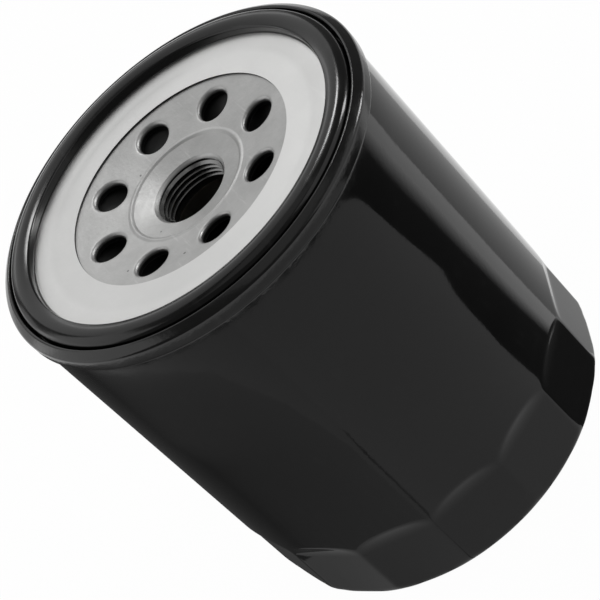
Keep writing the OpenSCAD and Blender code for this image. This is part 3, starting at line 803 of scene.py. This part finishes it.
outer_line = bent([
    (TILE_OUT_R, under_z(TILE_OUT_R)), (UNDER_DISH_R, PLATE_Z - PLATE_T, 4),
    (PLATE_CREASE_R, PLATE_Z - PLATE_T, 4), (PLATE_R, edge_z - PLATE_T, 0.4), (PLATE_R, edge_z, 0.4),
    (PLATE_CREASE_R, PLATE_Z, 4.47), (DISH_R, PLATE_Z, 4), (TILE_OUT_R, face_z(TILE_OUT_R))])
for line in (inner_line, outer_line):
    strip = [[plate_sector.verts.new(turned(p[0], a, p[1])) for p in line] for a in arc]
    columns_to_faces(plate_sector, strip, False)
plate = to_object("base_plate_pressing", plate_sector, plated_plate)
grow(plate, repeat_round, Count=HOLE_COUNT, Phase=HOLE_PHASE, Material=plated_plate)
settle(plate, "filter", "base_plate")

# %% [markdown]
# ## Threads and springs
#
# A thread and a coil spring follow the same rule: a point turns round the axis and climbs. One small
# function adds that rule to a geometry tree: a straight curve is resampled, and every point is set to its
# place on the helix. The spring's end turns lie closer than the ones between, which is a second slope
# between two limits.

# %% The helix rule
def polar(tree, angle, radius, height):
    return put(tree, "ShaderNodeCombineXYZ", {
        "X": math_node(tree, "MULTIPLY", math_node(tree, "COSINE", angle), radius),
        "Y": math_node(tree, "MULTIPLY", math_node(tree, "SINE", angle), radius), "Z": height}).outputs[0]


def helix(tree, given, points):
    line = put(tree, "GeometryNodeCurvePrimitiveLine")
    fine = put(tree, "GeometryNodeResampleCurve", {"Curve": line.outputs[0], "Count": points})
    share = put(tree, "GeometryNodeSplineParameter").outputs["Factor"]
    turns = math_node(tree, "MULTIPLY", share, given["Turns"])
    angle = math_node(tree, "MULTIPLY", turns, math.tau)
    open_turns = put(tree, "ShaderNodeClamp", {0: math_node(tree, "SUBTRACT", turns, 1.0), 1: 0.0,
                                               2: math_node(tree, "SUBTRACT", given["Turns"], 2.0)})
    climb = math_node(tree, "ADD", math_node(tree, "MULTIPLY", turns, given["Pitch"]),
                      math_node(tree, "MULTIPLY", open_turns.outputs[0], given["Extra pitch"]))
    place = polar(tree, angle, given["Radius"], math_node(tree, "ADD", climb, given["Base"]))
    moved = put(tree, "GeometryNodeSetPosition", {"Geometry": fine.outputs[0], "Position": place})
    upright = put(tree, "GeometryNodeSetCurveNormal", {"Curve": moved.outputs[0]}, mode="Z_UP")
    return upright.outputs[0]


HELIX_INPUTS = [("Turns", FLOAT, 5.0), ("Pitch", FLOAT, 0.0015), ("Extra pitch", FLOAT, 0.0),
                ("Radius", FLOAT, 0.01), ("Base", FLOAT, 0.1), ("Material", MATERIAL, None)]
print("helix inputs:", [row[0] for row in HELIX_INPUTS])

# %% [markdown]
# ## The thread
#
# The plate's neck carries a 20 mm thread of 1.5 mm pitch. Its ridge has a flat crest and sloped flanks. At
# both ends the ridge runs into the neck's chamfers: there each point is pushed out to the cone of the
# chamfer, so the thread starts and ends as a tap leaves it. A boolean would cut the same form with ragged
# faces.

# %% Thread ridge
RIDGE_POINTS = 700


def make_thread_ridge():
    tree, given, wanted = new_tree("thread_ridge", "GeometryNodeTree", [
        *HELIX_INPUTS, ("Depth", FLOAT, 0.0008), ("Crest", FLOAT, 0.0002), ("Root", FLOAT, 0.0013),
        ("Minor radius", FLOAT, 0.009), ("Mouth", FLOAT, 0.111), ("Foot", FLOAT, 0.105)],
        [("Geometry", GEOMETRY)])
    ridge = put(tree, "GeometryNodeCurvePrimitiveQuadrilateral", {
        "Height": given["Depth"], "Bottom Width": given["Root"], "Top Width": given["Crest"], "Offset": 0.0},
        mode="TRAPEZOID")
    quarter = put(tree, "GeometryNodeTransform", {
        "Geometry": ridge.outputs[0], "Rotation": (0, 0, math.pi / 2)})
    swept = put(tree, "GeometryNodeCurveToMesh", {
        "Curve": helix(tree, given, RIDGE_POINTS), "Profile Curve": quarter.outputs[0], "Fill Caps": True})
    place = put(tree, "ShaderNodeSeparateXYZ", {0: put(tree, "GeometryNodeInputPosition").outputs[0]}).outputs
    radius = axis_distance(tree, place)
    above = math_node(tree, "SUBTRACT", place["Z"], given["Mouth"])
    below = math_node(tree, "SUBTRACT", given["Foot"], place["Z"])
    cone = math_node(tree, "ADD", math_node(tree, "MAXIMUM", above, below), given["Minor radius"])
    share = math_node(tree, "DIVIDE", math_node(tree, "MAXIMUM", radius, cone), radius)
    spread = put(tree, "ShaderNodeCombineXYZ", {"X": math_node(tree, "MULTIPLY", place["X"], share),
                                                "Y": math_node(tree, "MULTIPLY", place["Y"], share),
                                                "Z": place["Z"]})
    cut = put(tree, "GeometryNodeSetPosition", {"Geometry": swept.outputs[0], "Position": spread.outputs[0]})
    return hand_out(tree, cut.outputs[0], given, wanted)


THREAD_PITCH = 1.5
THREAD_TURNS = 4.1
THREAD_START = 104.72
ROOT_WIDTH = 1.36
ROOT_SINK, CREST_CLEAR = 0.06, 0.03
FOOT_CHAMFER = 0.8
depth = THREAD_MAJOR_R - THREAD_MINOR_R + ROOT_SINK
thread = to_object("neck_thread", bmesh.new(), tapped_steel)
grow(thread, make_thread_ridge(), **{
    "Turns": THREAD_TURNS, "Pitch": THREAD_PITCH * MM, "Radius": (THREAD_MINOR_R + depth / 2) * MM,
    "Base": THREAD_START * MM, "Depth": depth * MM, "Crest": THREAD_PITCH / 6 * MM, "Root": ROOT_WIDTH * MM,
    "Minor radius": (THREAD_MINOR_R + CREST_CLEAR) * MM, "Mouth": (MOUTH_Z - MOUTH_CHAMFER) * MM,
    "Foot": (NECK_Z + FOOT_CHAMFER) * MM, "Material": tapped_steel})
settle(thread, "filter", "base_plate")
radii = [math.hypot(v.co.x, v.co.y) for v in thread.data.vertices]
print("thread radii, mm:", round(min(radii) / MM, 3), round(max(radii) / MM, 3))

# %% [markdown]
# ## The bypass spring
#
# The bypass valve inside the element closes by a small coil spring with a close turn at each end. As the
# valve lifts, the real spring shortens between the disc and the cage. A shape key could show that.

# %% Spring wire
WIRE_POINTS, WIRE_SIDES = 400, 14


def make_spring_wire():
    tree, given, wanted = new_tree("spring_wire", "GeometryNodeTree",
                                   [*HELIX_INPUTS, ("Wire radius", FLOAT, 0.0006)], [("Geometry", GEOMETRY)])
    section = put(tree, "GeometryNodeCurvePrimitiveCircle", {
        "Resolution": WIRE_SIDES, "Radius": given["Wire radius"]})
    swept = put(tree, "GeometryNodeCurveToMesh", {
        "Curve": helix(tree, given, WIRE_POINTS), "Profile Curve": section.outputs[0], "Fill Caps": True})
    return hand_out(tree, swept.outputs[0], given, wanted)


spring_low, spring_high = (corner.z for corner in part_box("bypass_spring"))
WIRE_R = 0.6
COIL_R = 6.5
COIL_TURNS = 6
END_PITCH = 1.8
rise = (spring_high - spring_low) / MM - 2 * WIRE_R
spring = to_object("bypass_coil", bmesh.new(), spring_steel)
grow(spring, make_spring_wire(), **{
    "Turns": float(COIL_TURNS), "Pitch": END_PITCH * MM, "Radius": COIL_R * MM,
    "Base": spring_low + WIRE_R * MM, "Wire radius": WIRE_R * MM, "Material": spring_steel,
    "Extra pitch": (rise - COIL_TURNS * END_PITCH) / (COIL_TURNS - 2) * MM})
settle(spring, "filter", "bypass_spring")
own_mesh(spring)

# %% [markdown]
# ## The pleated paper
#
# The element is a band of paper folded into 48 deep pleats. A ring of points takes its radius from its
# angle within a pleat: out at the fold, in at the root, and a steep wall between. The ring is then drawn up
# to the full height, and Solidify gives it the thickness of the paper. Folding a real strip with cloth
# would give the same for more work.

# %% Pleats
PLEAT_POINTS = 24.0


def make_pleats():
    tree, given, wanted = new_tree("pleats", "GeometryNodeTree", [
        ("Pleats", INT, 48), ("Inner radius", FLOAT, 0.0156), ("Outer radius", FLOAT, 0.0462),
        ("Height", FLOAT, 0.07), ("Base", FLOAT, 0.02), ("Fold angle", FLOAT, 0.02),
        ("Root angle", FLOAT, 0.04), ("Material", MATERIAL, None)], [("Geometry", GEOMETRY)])
    count = math_node(tree, "MULTIPLY", given["Pleats"], PLEAT_POINTS)
    ring = put(tree, "GeometryNodeMeshCircle", {"Vertices": count})
    step = math_node(tree, "DIVIDE", math.tau, count)
    angle = math_node(tree, "MULTIPLY", put(tree, "GeometryNodeInputIndex").outputs[0], step)
    pleat = math_node(tree, "DIVIDE", math.tau, given["Pleats"])
    offset = math_node(tree, "PINGPONG", angle, math_node(tree, "MULTIPLY", pleat, 0.5))
    radius = range_node(tree, offset, given["Fold angle"], given["Root angle"], given["Outer radius"],
                        given["Inner radius"], interpolation_type="SMOOTHSTEP")
    place = polar(tree, angle, radius, given["Base"])
    folded = put(tree, "GeometryNodeSetPosition", {"Geometry": ring.outputs[0], "Position": place})
    straight_up = put(tree, "ShaderNodeCombineXYZ", {"Z": 1.0})
    drawn = put(tree, "GeometryNodeExtrudeMesh", {"Mesh": folded.outputs[0], "Offset": straight_up.outputs[0],
                                                  "Offset Scale": given["Height"]}, mode="EDGES")
    return hand_out(tree, drawn.outputs[0], given, wanted)


media_low, media_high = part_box("pleated_media")
ROOT_R, FOLD_OUT_R = 15.85, 45.9
FOLD_ANGLE, ROOT_ANGLE = math.radians(0.9), math.radians(2.4)
PAPER_T = 0.45
paper = to_object("pleated_paper", bmesh.new(), filter_paper)
grow(paper, make_pleats(), **{
    "Inner radius": ROOT_R * MM, "Outer radius": FOLD_OUT_R * MM, "Base": media_low.z,
    "Height": media_high.z - media_low.z, "Fold angle": FOLD_ANGLE, "Root angle": ROOT_ANGLE,
    "Material": filter_paper})
thickness = paper.modifiers.new("paper", "SOLIDIFY")
thickness.thickness = PAPER_T * MM
thickness.offset = 0
settle(paper, "filter", "pleated_media")

# %% [markdown]
# ## Pieces kept from the CAD model
#
# The sealed inner pieces, from the end caps to the valve, have the right shape in CAD already. Modelling them
# again would add nothing that can be seen, so they stay, and only take their finishes.

# %% Finishes on CAD nodes
kept = {"seam_sealant": sealant, "anti_drain_valve": valve_rubber, "top_end_cap": tinned_cap,
        "bottom_end_cap": tinned_cap, "top_adhesive": potting, "bottom_adhesive": potting,
        "media_seam_clip": tinned_cap, "centre_tube": tube_steel, "bypass_seat": valve_steel,
        "bypass_seal": valve_rubber, "bypass_disc": valve_steel, "bypass_pin": spring_steel,
        "bypass_cage": valve_steel, "element_spring": spring_steel}
for node, material in kept.items():
    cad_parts[node].data.materials.clear()
    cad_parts[node].data.materials.append(material)
print("CAD nodes with new finishes:", len(kept))

# %% [markdown]
# ## The studio
#
# The filter stands on white paper. A white floor lit by lamps would turn grey away from them. Here the
# paper glows where the camera or a reflection sees it, and the share that is left to plain diffuse light
# keeps the soft shadow. The world is white to the camera and dim to everything else, so that the lamps
# alone shape the metal.

# %% Floor and world
PAPER_GLOW, SKY_TONE = 0.98, 0.15
PAPER_TONE, WHITE = (0.82, 0.82, 0.82, 1), (1, 1, 1, 1)
FLOOR_HALF = 6
FLOOR_Z = -0.02 * MM


def plain_shader(name):
    material = bpy.data.materials.new(name)
    material.use_nodes = True
    material.node_tree.nodes.remove(material.node_tree.nodes["Principled BSDF"])
    return material, material.node_tree, material.node_tree.nodes["Material Output"].inputs["Surface"]


def flat_piece(name, corners, faces, material):
    mesh = bpy.data.meshes.new(name)
    mesh.from_pydata(corners, [], faces)
    mesh.materials.append(material)
    made = bpy.data.objects.new(name, mesh)
    bpy.context.scene.collection.objects.link(made)
    return made


white_paper, paper_tree, paper_out = plain_shader("white_paper")
path = put(paper_tree, "ShaderNodeLightPath").outputs
seen = math_node(paper_tree, "MAXIMUM", path["Is Camera Ray"],
                 math_node(paper_tree, "MAXIMUM", path["Is Glossy Ray"], path["Is Transmission Ray"]))
paper_mix = put(paper_tree, "ShaderNodeMixShader", {
    0: math_node(paper_tree, "MULTIPLY", seen, PAPER_GLOW),
    1: put(paper_tree, "ShaderNodeBsdfDiffuse", {"Color": PAPER_TONE}).outputs[0],
    2: put(paper_tree, "ShaderNodeEmission", {"Color": WHITE, "Strength": 1.0}).outputs[0]})
paper_tree.links.new(paper_mix.outputs[0], paper_out)
floor_corners = [(x * FLOOR_HALF, y * FLOOR_HALF, FLOOR_Z) for x, y in ((-1, -1), (1, -1), (1, 1), (-1, 1))]
flat_piece("floor", floor_corners, [(0, 1, 2, 3)], white_paper)

world = bpy.data.worlds.new("studio")
bpy.context.scene.world = world
world.use_nodes = True
sky = world.node_tree
path = put(sky, "ShaderNodeLightPath").outputs
shade = layer(sky, grey(SKY_TONE), path["Is Camera Ray"], WHITE)
sky.links.new(shade, sky.nodes["Background"].inputs["Color"])
print("floor and world ready")

# %% [markdown]
# ## Lamps
#
# Plated steel and gloss paint show their lamps more than their own tone. A big box behind the filter lies
# where the plate and lid mirror it to the camera, and so sets their grey. Boxes low, above and at both
# sides fill the rest. Two lamps are small on purpose: the spark draws short streaks along the gasket and
# the seam, and the narrow key strip lights the rims of the holes. A sun or one dome could not give wide
# tones and thin lines at the same time.

# %% Lamps
AIM = Vector((0, 0, 100)) * MM


def softbox(name, place, size, watts):
    lamp = bpy.data.lights.new(name, "AREA")
    lamp.shape = "RECTANGLE"
    lamp.size, lamp.size_y = size
    lamp.energy = watts
    made = bpy.data.objects.new(name, lamp)
    made.location = place
    made.rotation_mode = "QUATERNION"
    made.rotation_quaternion = (AIM - Vector(place)).to_track_quat("-Z", "Y")
    bpy.context.scene.collection.objects.link(made)


softbox("top_box", place=(0.02, 0.71, 0.76), size=(0.8, 1.0), watts=1.65)
softbox("low_box", place=(0, 0.95, 0.36), size=(0.8, 0.25), watts=0.35)
softbox("overhead", place=(0.1, -0.15, 1.1), size=(0.8, 0.8), watts=0.6)
softbox("spark", place=(0.33, 0.575, 0.85), size=(0.10, 0.26), watts=1.3)
softbox("right_box", place=(0.63, -0.36, 0.44), size=(0.7, 0.7), watts=1.0)
softbox("left_box", place=(-0.74, 0.3, 0.55), size=(0.9, 0.9), watts=2.3)
softbox("left_low_box", place=(-0.62, 0.75, 0.3), size=(0.4, 0.4), watts=0.3)
softbox("key_strip", place=(0.84, 0.045, 0.42), size=(0.14, 0.4), watts=2.3)

# %% [markdown]
# ## Cards round the foot
#
# Black gloss paint shows little of itself: what gives it shape is what it mirrors. So cards lie round the
# foot, unseen by the camera, as in a product studio. Seen from above, a point of the upright wall mirrors
# the floor in front of it: the higher the point, the further out. A card is therefore laid out by the angle
# on the wall where it shows and by its reach from the foot. Its rows each have a reach and two angles, so
# an edge can lean, wave or round off, and its tone runs from one side to the other. Where cards lap, the
# one with the higher lift shows.

# %% The card helper
CARD_Z = 0.15 * MM
CARD_R = CAN_R - 3
card_paper, card_tree, card_out = plain_shader("card_paper")
card_tone = put(card_tree, "ShaderNodeAttribute", attribute_name="tone")
card_glow = put(card_tree, "ShaderNodeEmission", {"Strength": card_tone.outputs["Fac"]})
card_tree.links.new(card_glow.outputs[0], card_out)
COLUMNS = 12


def card(name, rows, tones, lift=1):
    """Rows are (reach in mm, start and end angle in degrees from the camera's side towards +X)."""
    points, values, faces = [], [], []
    for reach, start, end in rows:
        for i in range(COLUMNS + 1):
            share = i / COLUMNS
            a = math.radians(start + (end - start) * share)
            x = CARD_R * math.sin(a) + reach * math.sin(2 * a)
            y = -CARD_R * math.cos(a) - reach * math.cos(2 * a)
            points.append((x * MM, y * MM, CARD_Z * (1 + lift)))
            values.append(tones[0] + (tones[1] - tones[0]) * share)
    for k in range(len(rows) - 1):
        first = k * (COLUMNS + 1)
        faces += [(i, i + 1, i + COLUMNS + 2, i + COLUMNS + 1) for i in range(first, first + COLUMNS)]
    made = flat_piece(name, points, faces, card_paper)
    made.data.attributes.new("tone", "FLOAT", "POINT").data.foreach_set("value", values)
    made.visible_camera = made.visible_diffuse = made.visible_shadow = made.visible_transmission = False


print("cards have", COLUMNS, "columns and start at radius", CARD_R, "mm")

# %% [markdown]
# ## The cards
#
# A dark base card keeps the white floor out of the wall. On it lie greys for the left side, the middle and
# the front, a thin dark line between two of them, a dark-to-white edge and a lighter card on the right. The
# foot has a card of its own, because flats and wall mirror the floor close to the foot differently.

# %% Cards
card("card_base", [(0, -89, 54), (26, -89, 54), (30, -89, 47), (181, -89, 47)], (0.06, 0.06), lift=0)
card("card_middle", [(0, -40, -16.8), (150, -40, -16.8), (174, -60, -16.8)], (0.42, 0.42))
card("card_left", [(0, -60, -18), (72, -60, -19), (86, -60, -20.5), (105, -66, -23), (119, -66, -26),
                   (139, -66, -31), (153, -66, -38), (165, -66, -46), (174, -66, -58)], (0.06, 0.36), lift=2)
card("card_foot", [(0, -62, -18), (26, -62, -18)], (0.22, 0.43), lift=3)
card("card_line", [(0, -17.6, -17), (66, -17.6, -17), (80, -17.2, -17)], (0.2, 0.2), lift=3)
card("card_front", [(0, -17, 31.2), (33, -17, 31.4), (52, -17, 30.6), (74, -17, 31.1), (82, -17, 31.6),
                    (94, -17, 33.7), (103, -17, 33.2), (115, -17, 32.2), (133, -17, 31.2), (144, -17, 30.7),
                    (157, -17, 29.7), (166, -17, 27.6), (174, -17, 25)], (0.44, 0.48))
card("card_edge", [(0, 52, 55), (26, 52, 55), (30, 45.2, 49), (72, 43.5, 48), (145, 42, 48), (200, 42, 48)],
     (0.06, 1.0), lift=3)
card("card_right", [(0, 53.4, 72), (200, 53.4, 72)], (0.45, 0.55))

# %% [markdown]
# ## The end
#
# The view transform is Standard, so a tone renders as it is written.

# %% View transform
bpy.context.scene.view_settings.view_transform = "Standard"
